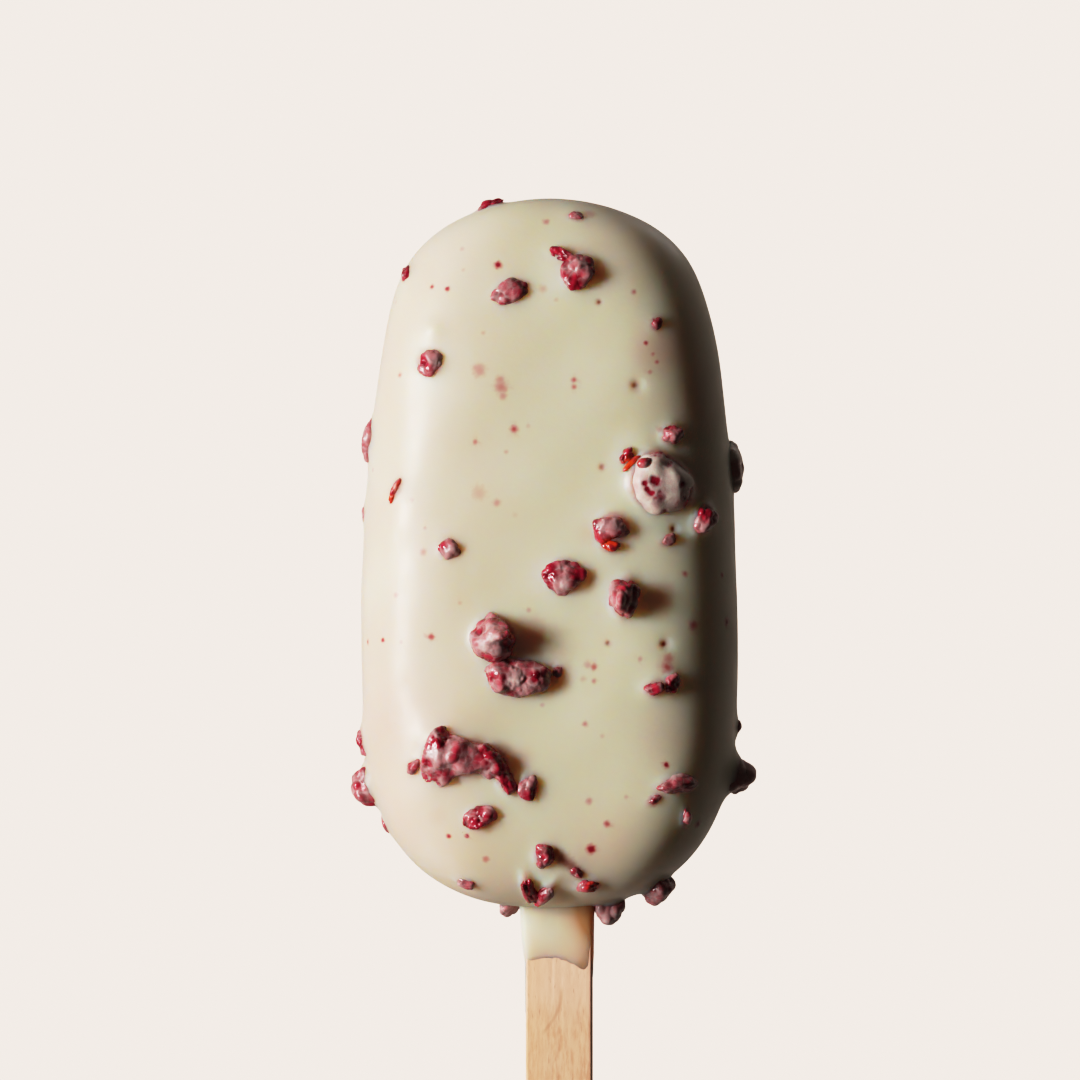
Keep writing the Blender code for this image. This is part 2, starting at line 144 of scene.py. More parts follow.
# Specks of fruit in the coating: photo pixel across and down, radius in millimetres and
# how red they are, from 0 to 1.
SPECKS = (
    (498, 265, 0.42, 0.95), (447, 289, 0.34, 0.8), (432, 287, 0.3, 0.7), (462, 249, 0.4, 0.3),
    (463, 270, 0.3, 0.25), (396, 302, 0.3, 0.3), (483, 333, 0.3, 0.3), (543, 289, 0.5, 0.22),
    (546, 222, 0.4, 0.4), (634, 292, 0.32, 0.5), (656, 323, 0.55, 0.9), (646, 343, 0.3, 0.7),
    (653, 354, 0.3, 0.45), (657, 362, 0.3, 0.5), (650, 372, 0.3, 0.4), (574, 380, 0.32, 0.55),
    (574, 387, 0.3, 0.5), (514, 429, 0.45, 0.62), (475, 442, 0.34, 0.5), (506, 452, 0.3, 0.3),
    (528, 426, 0.3, 0.2), (400, 375, 0.36, 0.5), (425, 528, 0.28, 0.4), (423, 552, 0.5, 0.4),
    (373, 470, 0.3, 0.4), (396, 595, 0.4, 0.4), (431, 637, 0.42, 0.65), (368, 642, 0.34, 0.7),
    (383, 640, 0.34, 0.8), (401, 642, 0.3, 0.35), (460, 603, 0.3, 0.25), (529, 610, 0.34, 0.3),
    (640, 659, 0.3, 0.3), (590, 214, 0.8, 0.25), (685, 574, 0.36, 0.5), (693, 625, 0.6, 0.5),
    (668, 659, 0.7, 0.42), (667, 667, 0.75, 0.55), (588, 665, 0.5, 0.28), (594, 667, 0.42, 0.5),
    (594, 681, 0.32, 0.4), (583, 679, 0.4, 0.2), (542, 705, 0.3, 0.25), (585, 724, 0.32, 0.45),
    (602, 736, 0.3, 0.2), (395, 723, 0.34, 0.25), (589, 801, 0.4, 0.4), (607, 824, 0.42, 0.6),
    (591, 849, 0.55, 0.9), (626, 797, 0.3, 0.25), (449, 836, 0.3, 0.8), (467, 836, 0.28, 0.9),
    (486, 859, 0.5, 0.45), (666, 765, 0.36, 0.85), (653, 801, 0.5, 0.85), (698, 824, 0.4, 0.7),
    (727, 622, 0.42, 0.9), (558, 671, 0.5, 0.95), (479, 370, 0.9, 0.35), (476, 368, 0.5, 0.35),
    (501, 387, 0.8, 0.42), (500, 380, 0.6, 0.35), (503, 396, 0.5, 0.35), (479, 493, 1, 0.26),
    (497, 503, 0.5, 0.36), (515, 515, 0.4, 0.15), (660, 430, 0.4, 0.35), (436, 818, 0.5, 0.15),
    (575, 215, 0.55, 0.6), (413, 767, 0.6, 0.9), (386, 828, 0.5, 0.7), (556, 300, 0.3, 0.2),
    (412, 500, 0.3, 0.3), (722, 575, 0.3, 0.4),
)

# Bits beside the coated lump: photo pixel across and down, then length and width in
# millimetres and heading.
LUMP_BITS = (
    (631, 463, 3, 0.7, 50), (636, 458, 1.6, 0.5, 25), (643, 464, 2.3, 1.2, 20),
    (628, 452, 1.5, 1.1, 40), (623, 458, 1.1, 0.9, 80),
)

# Pits in the coating: pixel across and down, then the radius of the dark hole, the radius
# of the bowl round it and the bowl's depth in millimetres, and how dark the hole is painted:
# partly its brown colour, partly painted shade in the hollow.
PITS = (
    (599, 302, 0.26, 0.45, 0.08, 0.7), (635, 385, 0.34, 0.95, 0.24, 0.55),
    (602, 467, 0.32, 0.5, 0.02, 0.4), (673, 529, 0.3, 0.7, 0.2, 0.8),
    (608, 643, 0.27, 0.6, 0.06, 0.5), (664, 644, 0.34, 0.8, 0.25, 1),
    (461, 881, 0.3, 0.6, 0.12, 0.5),
)

# A shallow trough beside one piece, painted brown along it as shade: pixel across and down along
# it, radius and strength.
TROUGH = (
    (556, 853, 0.9, 0.6), (562, 858, 0.95, 0.75), (567, 862, 0.9, 0.85), (571, 865, 0.85, 0.85),
    (575, 869, 0.8, 0.85), (580, 873, 0.7, 0.8),
)

# Broad tints where fruit lies deep: pixel across and down, radius and strength.
STAINS = (
    (404, 812, 12, 0.17), (440, 860, 12, 0.17), (372, 745, 10, 0.14), (448, 546, 2.2, 0.2),
    (590, 532, 2, 0.15), (436, 818, 3, 0.2), (660, 350, 4, 0.2), (600, 860, 9, 0.13),
    (670, 740, 5, 0.1), (430, 250, 12, 0.12), (620, 240, 9, 0.1), (575, 262, 3, 0.18),
    (700, 400, 6, 0.12),
)

# Where the coating stands thick round the fruit: pixel, radius and height in millimetres.
SWELLS = (
    (455, 752, 5.5, 0.4), (425, 735, 2.5, 0.2), (505, 650, 5.5, 0.35), (655, 480, 6, 0.5),
    (640, 445, 3, 0.25), (575, 268, 4, 0.25), (433, 331, 1.7, 0.42), (430, 362, 2.6, 0.1),
    (625, 597, 3.2, 0.25), (564, 577, 3.2, 0.2), (610, 530, 3.2, 0.2), (662, 680, 3, 0.25),
    (549, 888, 3, 0.35), (565, 862, 3, 0.3), (588, 888, 2.6, 0.2), (480, 818, 3, 0.15),
    (528, 788, 2.6, 0.15), (675, 785, 3.4, 0.25), (395, 487, 2.4, 0.15), (509, 290, 3, 0.2),
    (703, 517, 3, 0.25),
)

# Where fruit is bare, or under more film: photo pixel, radius in millimetres, how much more
# film stands there in millimetres, and how orange the fruit is where it is at all. A number
# under 0 instead of that says how far the colour of the film is left out, its height kept.
FRUIT_MARKS = (
    (446, 733, 1.1, -0.5), (440, 743, 0.8, -0.4), (427, 763, 0.7, -0.4), (432, 780, 1, -0.5),
    (438, 757, 1.3, 0.2), (487, 752, 0.9, -0.4), (503, 765, 1.6, -0.4), (505, 786, 1.2, -0.5),
    (462, 764, 1.6, 0.1), (489, 640, 1.6, 0.25), (473, 628, 0.6, -0.5), (480, 632, 0.5, -0.4),
    (508, 627, 0.7, -0.3), (511, 643, 1.3, -0.35), (487, 659, 0.9, -0.5), (514, 677, 1.3, 0.35),
    (490, 677, 0.6, -0.45), (536, 677, 0.7, -0.45), (526, 686, 1, 0.2), (633, 490, 0.8, -0.35),
    (665, 513, 0.6, -0.8), (658, 452, 0.7, -0.9), (669, 463, 0.5, -0.8), (640, 507, 0.9, -0.4),
    (548, 573, 1.1, -0.4), (562, 580, 1.8, 0.28), (578, 575, 1, -0.4), (626, 582, 1.3, -0.3),
    (580, 262, 1.2, 0.15), (575, 283, 1, -0.4), (578, 270, 2.2, 0.16), (555, 253, 1.2, -0.4),
    (474, 828, 1.2, -0.5), (480, 812, 1, -0.3), (543, 848, 1.5, -0.05), (528, 788, 1.4, 0.15),
    (360, 787, 2.5, 0.06), (363, 742, 1.2, -0.2), (362, 440, 2.8, 0.3), (396, 492, 2.2, -0.15, 1),
    (610, 546, 1.2, -0.5, 1), (629, 464, 1, -0.3, 1), (636, 458, 0.6, -0.3, 1),
    (646, 465, 0.6, 0.3), (592, 887, 0.8, -0.4, 0.8), (738, 465, 4.5, 0.9),
    (741, 469, 1.6, 0, -0.85), (734, 469, 0.7, 0, -0.7), (676, 781, 2, 0.15), (744, 777, 3, 0.6),
    (744, 780, 2, 0, -0.5), (655, 481, 0.7, -1.2), (645, 484, 0.45, -1.1), (647, 489, 0.4, -1),
    (651, 494, 0.5, -0.9), (661, 496, 0.75, -0.65), (682, 484, 0.35, -1), (690, 490, 0.5, -1.1),
    (691, 498, 0.5, -1.1), (688, 505, 0.5, -1), (684, 498, 0.3, -1), (652, 451, 0.5, -0.9),
    (668, 456, 0.4, -0.9), (652, 688, 1.3, -0.4), (438, 548, 1.2, -0.3), (450, 550, 1.4, 0.2),
    (613, 527, 1.2, 0.3), (707, 511, 1.3, -0.5), (611, 914, 2, 0.2), (510, 911, 1.6, 0.3),
    (576, 214, 1.2, 0.2), (527, 888, 1.6, -0.5), (533, 904, 1, -0.4), (406, 272, 1.2, -0.3),
    (509, 287, 1.8, 0.22), (431, 362, 1.8, 0.3), (423, 362, 0.7, -0.5),
)

BACK_SPECKS, SPECK_SEED = 70, 5
SPECK_REACH = 23, 44
HALO, PAINTED_SHADOW = 0.42, 0.20  # how strongly fruit tints the coating round it, and how strongly reddish-brown shade is painted on the coating on its shaded side
SKIN_RINGS, SKIN_SIDES = 214, 226  # under 200,000 triangles, with its finer parts
SLOPE_STEP = 0.05 * MM
HALVINGS = 40


# ---------------- random waves and cells


def scrambled(cells, seed):
    """A repeatable random whole number for each cell of a grid."""
    primes = np.array((73856093, 19349663, 83492791), np.uint64)
    mixed = (cells.astype(np.int64).astype(np.uint64) * primes) & 0xFFFFFFFF
    number = mixed[..., 0] ^ mixed[..., 1] ^ mixed[..., 2] ^ np.uint64(seed * 7919 + 17)
    for _ in range(2):
        number = ((number ^ (number >> np.uint64(15))) * np.uint64(739982445)) & 0xFFFFFFFF
        number ^= number >> np.uint64(13)
    return number


def arrows(cells, seed):
    """Three random numbers from -1 to 1 for each cell."""
    number = scrambled(cells, seed)
    parts = [(number >> np.uint64(shift)) & 1023 for shift in (0, 10, 20)]
    return np.stack(parts, axis=-1).astype(float) / 511.5 - 1


def waves(points, seed=0):
    """Smooth random waves with bumps one unit apart, from about -1 to 1."""
    base = np.floor(points)
    part = points - base
    fade = part**3 * (part * (part * 6 - 15) + 10)
    total = np.zeros(len(points))
    for corner in itertools.product((0, 1), repeat=3):
        slopes = arrows(base + corner, seed)
        weight = np.where(corner, fade, 1 - fade).prod(axis=1)
        total += weight * (slopes * (part - corner)).sum(axis=1)
    return total * 1.5


def layered(points, layers, shift=0.0):
    """Layers of waves, each with its height, spacing and seed. shift moves the first one."""
    total = 0.0
    for height, spacing, seed in layers:
        total = total + height * waves(points / spacing + shift, seed)
        shift = 0.0
    return total


def nearest_cells(points, seed=0):
    """Distances to the nearest and second nearest of points scattered one to a unit cell."""
    base = np.floor(points)
    first = np.full(len(points), 9.0)
    second = first.copy()
    for corner in itertools.product((-1, 0, 1), repeat=3):
        cell = base + corner
        middle = cell + 0.5 + 0.42 * arrows(cell, seed)
        reach = np.linalg.norm(points - middle, axis=1)
        second = np.minimum(second, np.maximum(first, reach))
        first = np.minimum(first, reach)
    return first, second


def falloff(away, radius=1.0, power=2.0):
    """1 in the middle, falling to about a third at the radius."""
    return np.exp(-((away / radius) ** power))


def apart(points, spot):
    """How far points are from a spot, in millimetres."""
    return np.linalg.norm(points - spot, axis=1) / MM


def unit(vectors):
    return vectors / np.maximum(np.linalg.norm(vectors, axis=1, keepdims=True), 1e-15)


def rise(low, high, value):
    """0 below low, 1 above high and a smooth step between."""
    part = np.clip((value - low) / (high - low), 0, 1)
    return part * part * (3 - 2 * part)


def mixed(first, second, share):
    share = np.asarray(share)[:, None]
    return np.asarray(first) * (1 - share) + np.asarray(second) * share


# ---------------- the bar's form


def ripple(points):
    """Three slow waves over the coating, from -1 to 1."""
    x, y, z = (points / MM).T
    slow = np.sin(0.21 * x + 0.13 * y + 0.6) + np.sin(0.17 * y - 0.24 * z + 2.1)
    return (slow + np.sin(0.33 * x - 0.29 * y + 0.31 * z + 4.0)) / 3


def along(y, at_widest, lost, crown_powers, foot_powers):
    """The bar's half-width or half-thickness along its length."""
    up = np.clip((y - WIDEST_Y) / (END_Y - WIDEST_Y), 0, 1)
    down = np.clip((WIDEST_Y - y) / (END_Y + WIDEST_Y), 0, 1)
    crown = (1 - up ** crown_powers[0]) ** (1 / crown_powers[1])
    foot = (1 - down ** foot_powers[0]) ** (1 / foot_powers[1])
    return (at_widest - lost * up**TAPER_POWER) * crown * foot


def level(points):
    """Under 0 inside the coated bar, 0 on its skin and over 0 outside it."""
    x, y, z = points.T
    beyond = np.maximum(np.abs(y) - END_Y, 0) / MM
    wide = along(y, BAR_WIDTH / 2, CROWN_NARROWING, CROWN_PLAN, FOOT_PLAN)
    thick = along(y, BAR_THICKNESS / 2, CROWN_THINNING, CROWN_SIDE, FOOT_SIDE)
    wide, thick = (np.maximum(side, 0.01 * MM) for side in (wide, thick))
    crown = np.clip((y - WIDEST_Y) / (END_Y - WIDEST_Y), 0, 1)
    across = np.abs(x / wide) ** (SIDE_POWER - CROWN_ROUNDING * crown**2)
    through = np.abs((z - MID_Z) / thick) ** FACE_POWER
    slow = RIPPLE / (BAR_THICKNESS / 5) * ripple(points)
    return np.where(beyond > 0, 1 + beyond, across + through - 1 - slow)


def skin_along(starts, directions):
    """Where rays from inside the bar leave its skin, by halving."""
    near = np.zeros(len(starts))
    far = np.full(len(starts), 1.2 * END_Y)
    for _ in range(HALVINGS):
        middle = (near + far) / 2
        inside = level(starts + directions * middle[:, None]) < 0
        near, far = np.where(inside, middle, near), np.where(inside, far, middle)
    return starts + directions * near[:, None]


def facing(points):
    """The skin's outward direction at points on it."""
    steps = np.eye(3) * SLOPE_STEP
    return unit(np.stack([level(points + step) - level(points - step) for step in steps], axis=1))


FACES = {
    "front": (0, 0, 1), "back": (0, 0, -1), "left": (-1, 0, 0), "right": (1, 0, 0),
    "crown": (0, 1, 0), "foot": (0, -1, 0),
}


def skin_spot(u, v, face="front"):
    """The point on the skin at a place on one face, and the skin's outward direction there."""
    u, v = u * MM, v * MM
    x, _, z = FACES[face]
    start = (u, v, MID_Z) if z else (0, u, MID_Z + v) if x else (u, 0, MID_Z + v)
    point = skin_along(np.array([start], float), np.array([FACES[face]], float))[0]
    steps = np.eye(3) * SLOPE_STEP
    slope = level(point + steps) - level(point - steps)
    return Vector(point), Vector(slope).normalized()


def seat(piece):
    return skin_spot(piece.u, piece.v, piece.face)


def piece_place(piece):
    """A frame on the skin: X along the piece's length, Z outward."""
    point, outward = seat(piece)
    right = Vector((1, 0, 0)) if abs(outward.x) < 0.8 else Vector((0, 1, 0))
    right = (right - outward * right.dot(outward)).normalized()
    place = Matrix((right, outward.cross(right), outward)).transposed().to_4x4()
    place.translation = point + outward * piece.height * MM * (0.5 - piece.sunk)
    return place @ Matrix.Rotation(math.radians(piece.heading), 4, "Z")


def breaks(seed):
    """The planes that a crumb broke along: their directions and distances from its middle."""
    draw = random.Random(seed)
    found = []
    for _ in range(CRUMB_BREAKS):
        way = Vector(draw.gauss(0, 1) for _ in range(3)).normalized()
        found.append((way, draw.uniform(0.66, 0.98)))
    return found


@functools.cache
def back_pieces():
    """Pieces round the rim of the back, clear of the flat spot and of each other."""
    draw = random.Random(BACK_SEED)
    found = []
    while len(found) < BACK_PIECES:
        u, v = (draw.uniform(-far, far) for far in BACK_REACH)
        size = draw.choice(BACK_SIZES)
        point, outward = skin_spot(u, v, "back")
        near_collar = abs(u) < 9 and v < -38
        room = point.z - BACK_TALLEST * MM - 0.3 * MM
        rim = level(np.array([(1.1 * u * MM, 1.07 * v * MM, MID_Z)]))[0]
        if room < 0 or near_collar or outward.z > -0.15 or rim > 0:
            continue
        if any(math.hypot(u - o.u, v - o.v) < BACK_APART for o in found):
            continue
        height = min(0.7 * size, BACK_TALLEST / 0.55)
        width = size * draw.uniform(0.55, 0.9)
        found.append(Piece(u, v, size, width, height, draw.uniform(0, 180), "back"))
    return found


@functools.cache
def on_front(px, py, over=0.0):
    """A photo pixel as millimetres across and along the front, over millimetres above it."""
    across, along_bar = (px - PHOTO_MIDDLE) * PHOTO_MM, (PHOTO_MIDDLE - py) * PHOTO_MM
    u, v = across, along_bar
    for _ in range(3):
        height = over + (skin_spot(CAMERA_U + u, CAMERA_V + v)[0].z - MID_Z) / MM
        nearer = 1 - height / CAMERA_DISTANCE
        u, v = across * nearer, along_bar * nearer
    return CAMERA_U + u, CAMERA_V + v


def front_away(points, px, py, over=0.0):
    """How far points are to the side of what a photo pixel shows, in millimetres."""
    x, y = on_front(px, py, over)
    return np.hypot(points[:, 0] / MM - x, points[:, 1] / MM - y)


# ---------------- meshes


def linked(name, data):
    made = bpy.data.objects.new(name, data)
    bpy.context.scene.collection.objects.link(made)
    return made


def mesh_object(name, points, faces, material, looks):
    """A smooth mesh piece, with its looks as point attributes."""
    mesh = bpy.data.meshes.new(name)
    mesh.from_pydata(points.tolist(), [], faces)
    mesh.update()
    for label, values in looks.items():
        kind, field = ("FLOAT_COLOR", "color") if np.ndim(values) == 2 else ("FLOAT", "value")
        stored = mesh.attributes.new(label, kind, "POINT")
        stored.data.foreach_set(field, np.ravel(values).astype(np.float32))
    mesh.shade_smooth()
    mesh.materials.append(material)
    return linked(name, mesh)


def ring_faces(rows, sides, turned=False):
    """Faces of rings joined in turn, closed at both ends by the two points that follow them."""
    faces = []
    last = (rows - 1) * sides
    for i in range(sides):
        after = (i + 1) % sides
        i, after = (after, i) if turned else (i, after)
        for low in range(0, last, sides):
            high = low + sides
            faces.append((low + i, low + after, high + after, high + i))
        faces.append((last + sides, after, i))
        faces.append((last + sides + 1, last + i, last + after))
    return faces


@functools.cache
def ball(detail):
    """Directions and triangles of a ball, from an icosahedron."""
    shape = bmesh.new()
    bmesh.ops.create_icosphere(shape, subdivisions=detail, radius=1.0)
    ways = np.array([vert.co.normalized() for vert in shape.verts])
    faces = np.array([[vert.index for vert in face.verts] for face in shape.faces])
    shape.free()
    return ways, faces


FINE_BALL, PLAIN_BALL, COARSE_BALL = 5, 4, 3  # how often the ball's triangles are split
FRUIT_ROUNDING, LUMP_ROUNDING = 9.0, 6.0  # the less, the softer the edges between breaks

# Fruit of several lobes is built this much too large and shrunk, which fills its clefts, on a
# grid this fine, in millimetres, and then smoothed this often.
LARGE_GROWN, LARGE_GRID, LARGE_PASSES = 0.6, 0.13, 10
LUMP_GROWN, LUMP_GRID, LUMP_PASSES = 0.8, 0.14, 160
CLEFT_PASSES = 20

# Waves in millimetres: height, spacing and seed.
FRUIT_RELIEF = ((0.16, 1.5, 4), (0.05, 0.55, 5), (0.022, 0.26, 6))
FILM_RELIEF = ((0.26, 2.4, 1), (0.08, 0.8, 2))
COATING_RELIEF = ((0.03, 7.0, 20), (0.01, 2.6, 21))

DOME_HEIGHT, CLEFT_DEPTH = 0.26, 0.05  # of the fruit's grains, in millimetres
VEIL = 0.10  # how softly the film ends on the fruit, in millimetres
PALE_FILM = (0.64, 0.43, 0.415)  # thin coating over fruit
IVORY_FILM = (0.77, 0.69, 0.57)  # thick coating over fruit
DEEP_RED = (0.20, 0.005, 0.018)
WARM_RED = (0.45, 0.022, 0.055)
ORANGE_RED = (0.85, 0.085, 0.018)


def lobe_form(piece, seed, detail, round_off, grow=0.0):
    """A broken lump on its seat, before its fine relief: its points and its faces."""
    ways, faces = ball(detail)
    size = np.array((piece.length, piece.width, piece.height)) / 2
    cuts = [depth / np.maximum(ways @ np.array(way), 0.3) for way, depth in breaks(seed)]
    cuts = np.stack([np.full(len(ways), 1.12), *cuts])
    soft = -np.log(np.exp(-round_off * cuts).sum(axis=0)) / round_off + 0.6 / round_off
    start = Vector((seed * 3.1, seed * 1.7, 0))
    rough = np.array([noise.noise(Vector(way) * 2.1 + start) for way in ways])
    local = (ways * size * (soft * (1 + 0.16 * rough))[:, None] + ways * grow) * MM
    place = np.array(piece_place(piece))
    points = local @ place[:3, :3].T + place[:3, 3]
    point, outward = seat(piece)
    points += np.array(outward) * swell_at(np.array([point]))[0] * MM
    return points, faces


def outward_of(points, faces):
    """The outward direction at each point of a closed mesh of triangles or quads."""
    corners = points[faces[:, :3]]
    flat = np.cross(corners[:, 1] - corners[:, 0], corners[:, 2] - corners[:, 0])
    total = np.zeros_like(points)
    for column in range(faces.shape[1]):
        np.add.at(total, faces[:, column], flat)
    return unit(total)


def joined(forms):
    """Several meshes' points and faces as one."""
    points, faces, count = [], [], 0
    for form_points, form_faces in forms:
        points.append(form_points)
        faces.append(form_faces + count)
        count += len(form_points)
    return np.concatenate(points), np.concatenate(faces)


def melted(forms, voxel, passes):
    """Overlapping lumps as one closed body, its creases eased."""
    shape = bpy.data.meshes.new("melted")
    points, faces = joined(forms)
    shape.from_pydata((points / MM).tolist(), [], faces.tolist())
    body = linked("melted", shape)
    remesh = body.modifiers.new("remesh", "REMESH")
    remesh.mode = "VOXEL"
    remesh.voxel_size = voxel
    ease = body.modifiers.new("ease", "SMOOTH")
    ease.factor, ease.iterations = 0.5, passes
    graph = bpy.context.evaluated_depsgraph_get()
    result = body.evaluated_get(graph).to_mesh()
    points = np.array([vert.co for vert in result.vertices]) * MM
    faces = np.array([list(face.vertices) for face in result.polygons])
    bpy.data.objects.remove(body)
    return points, faces


def filled(forms, voxel, grown, passes):
    """Lumps that were grown by some millimetres as one body without its clefts."""
    points, faces = melted(forms, voxel, CLEFT_PASSES)
    points = points - outward_of(points, faces) * grown * MM
    return melted([(points, faces)], voxel, passes)


def marks_at(points):
    """How much more film the fruit has at points, and how orange or how bare it is there."""
    film, warmth, bare = np.zeros((3, len(points)))
    ragged = 1 + 0.45 * waves(points / MM / 0.6, 9)
    for px, py, radius, more, *warm in FRUIT_MARKS:
        away = front_away(points, px, py, 2.0) / radius * ragged
        near = falloff(away, power=3) * (points[:, 2] > MID_Z - 5 * MM)
        film += more * near
        warmth = np.maximum(warmth, sum(warm) * near)
        bare = np.maximum(bare, -sum(warm) * near)
    return film, warmth, bare


def dressed(points, faces, seed, film, relief=1.0, cell=1.15):
    """Fine relief and looks of freeze-dried raspberry, part filmed over with coating.

    film is how high the coating stands over the fruit's bumps, in millimetres."""
    outward = outward_of(points, faces)
    local = points / MM
    shift = np.array((seed * 1.3, seed * 2.7, seed * 0.9))
    nearest, second = nearest_cells(local / cell + shift, seed)
    dome = np.sqrt(np.clip(1 - (nearest / 0.80) ** 2, 0, 1))
    gap = rise(0.16, 0.0, second - nearest)
    fruit = DOME_HEIGHT * dome + layered(local, FRUIT_RELIEF, shift) - CLEFT_DEPTH * gap
    more, warmth, bare = marks_at(points)
    standing = film + more + layered(local, FILM_RELIEF, shift)
    thick = VEIL * np.logaddexp(0, np.clip((standing - fruit) / VEIL, -40, 40))
    lift = (fruit + thick - 0.16) * relief
    points = points + outward * (lift * MM)[:, None]

    # Grain tops lean warmer red and lower parts deeper red: partly the fruit's own colour, partly
    # painted shade between the grains.
    tone = rise(-0.5, 0.5, waves(local / 0.9 + shift, 7) + 0.5 * (dome - 0.6))
    red = mixed(DEEP_RED, WARM_RED, tone)
    red = mixed(red, ORANGE_RED, np.clip(warmth, 0, 1) * rise(-0.5, 0.3, waves(local / 1.1, 8)))
    cover = (1 - np.exp(-np.maximum(thick - 0.02, 0) / 0.30)) * (1 - bare)
    colour = mixed(red, PALE_FILM, cover)
    colour = mixed(colour, IVORY_FILM, 0.8 * rise(0.35, 1.1, thick) * (1 - bare))
    gloss = np.clip(1.0 - 0.75 * cover - 0.5 * gap, 0, 1)
    return points, faces, np.insert(colour, 3, 1.0, axis=1), gloss


def crumbs_object(name, crumbs, material):
    """Several crumbs as one piece."""
    points, faces = joined(crumb[:2] for crumb in crumbs)
    tint, gloss = (np.concatenate([crumb[i] for crumb in crumbs]) for i in (2, 3))
    return mesh_object(name, points, faces.tolist(), material, {"tint": tint, "gloss": gloss})


# ---------------- the coating


def skin_grid():
    """The bare skin as rings round the bar's long axis, with a point at each end."""
    turns = np.linspace(0, math.pi, SKIN_RINGS + 1)[1:-1]
    angles = np.linspace(0, 2 * math.pi, SKIN_SIDES, endpoint=False)
    ways = (BAR_WIDTH * np.cos(angles), 0 * angles, BAR_THICKNESS * np.sin(angles))
    outward = unit(np.stack(ways, axis=1))
    rows = []
    for y in -END_Y * np.cos(turns):
        middles = np.tile([0.0, y, MID_Z], (SKIN_SIDES, 1))
        rows.append(skin_along(middles, outward))
    points = np.concatenate([*rows, [(0, -END_Y, MID_Z), (0, END_Y, MID_Z)]])
    return points, ring_faces(len(rows), SKIN_SIDES, turned=True)


def finer(points, faces, centres, reach, cuts):
    """Splits the faces near centres, and puts the new points back on the skin."""
    shape = bmesh.new()
    verts = [shape.verts.new(point) for point in points]
    for face in faces:
        shape.faces.new([verts[i] for i in face])
    shape.verts.index_update()
    away = np.full(len(points), 9.0)
    for centre, radius in zip(centres, reach):
        away = np.minimum(away, np.linalg.norm(points - centre, axis=1) - radius)
    close = away < 0
    edges = [e for e in shape.edges if close[e.verts[0].index] and close[e.verts[1].index]]
    bmesh.ops.subdivide_edges(shape, edges=edges, cuts=cuts, use_grid_fill=True)
    shape.verts.index_update()
    moved = np.array([vert.co for vert in shape.verts])
    split = [[vert.index for vert in face.verts] for face in shape.faces]
    shape.free()
    new = np.arange(len(moved)) >= len(points)
    middles = moved * (0, 1, 0) + (0, 0, MID_Z)
    moved[new] = skin_along(middles[new], unit(moved - middles)[new])
    return moved, split


def footprint(points, piece):
    """How far points lie outside a piece's outline on the skin, in millimetres."""
    inverse = np.array(piece_place(piece).inverted())
    local = (points @ inverse[:3, :3].T + inverse[:3, 3]) / MM
    half = np.array((piece.length, piece.width)) / 2
    share = np.linalg.norm(local[:, :2] / half, axis=1)
    out = (share - 0.86) * half.mean()
    return np.where(np.abs(local[:, 2]) < 4, out, 9.0)


def swell_at(points):
    """How thick the coating stands over its even skin at points, in millimetres."""
    total = np.zeros(len(points))
    for px, py, radius, height in SWELLS:
        total += height * np.exp(-((front_away(points, px, py) / radius) ** 2) * 1.6)
    return np.where(points[:, 2] > MID_Z, total, 0)


def front_seat(px, py):
    """The point on the skin that a photo pixel shows."""
    return np.array(skin_spot(*on_front(px, py))[0])


def all_specks():
    """Specks of fruit on the front, and others on the back by a seeded rule."""
    specks = [(front_seat(px, py), radius, share) for px, py, radius, share in SPECKS]
    draw = random.Random(SPECK_SEED)
    for _ in range(BACK_SPECKS):
        u, v = (draw.uniform(-far, far) for far in SPECK_REACH)
        spot = np.array(skin_spot(u, v, "back")[0])
        specks.append((spot, draw.uniform(0.25, 0.5), draw.uniform(0.2, 0.9)))
    return specks


def coating_grid(pieces, seats, pits, specks):
    """The bare skin with finer faces round the fruit, and the finest at pits and specks."""
    points, faces = skin_grid()
    reach = [max(piece.length, piece.width) / 2 * MM + 1.3 * MM for piece in pieces]
    points, faces = finer(points, faces, seats, reach, 1)
    spots = np.array([pit[0] for pit in pits] + [speck[0] for speck in specks])
    reach = [(bowl + 0.9) * MM for _, _, bowl, _, _ in pits]
    reach += [(radius * 1.4 + 0.65) * MM for _, radius, _ in specks]
    return finer(points, faces, spots, reach, 3)


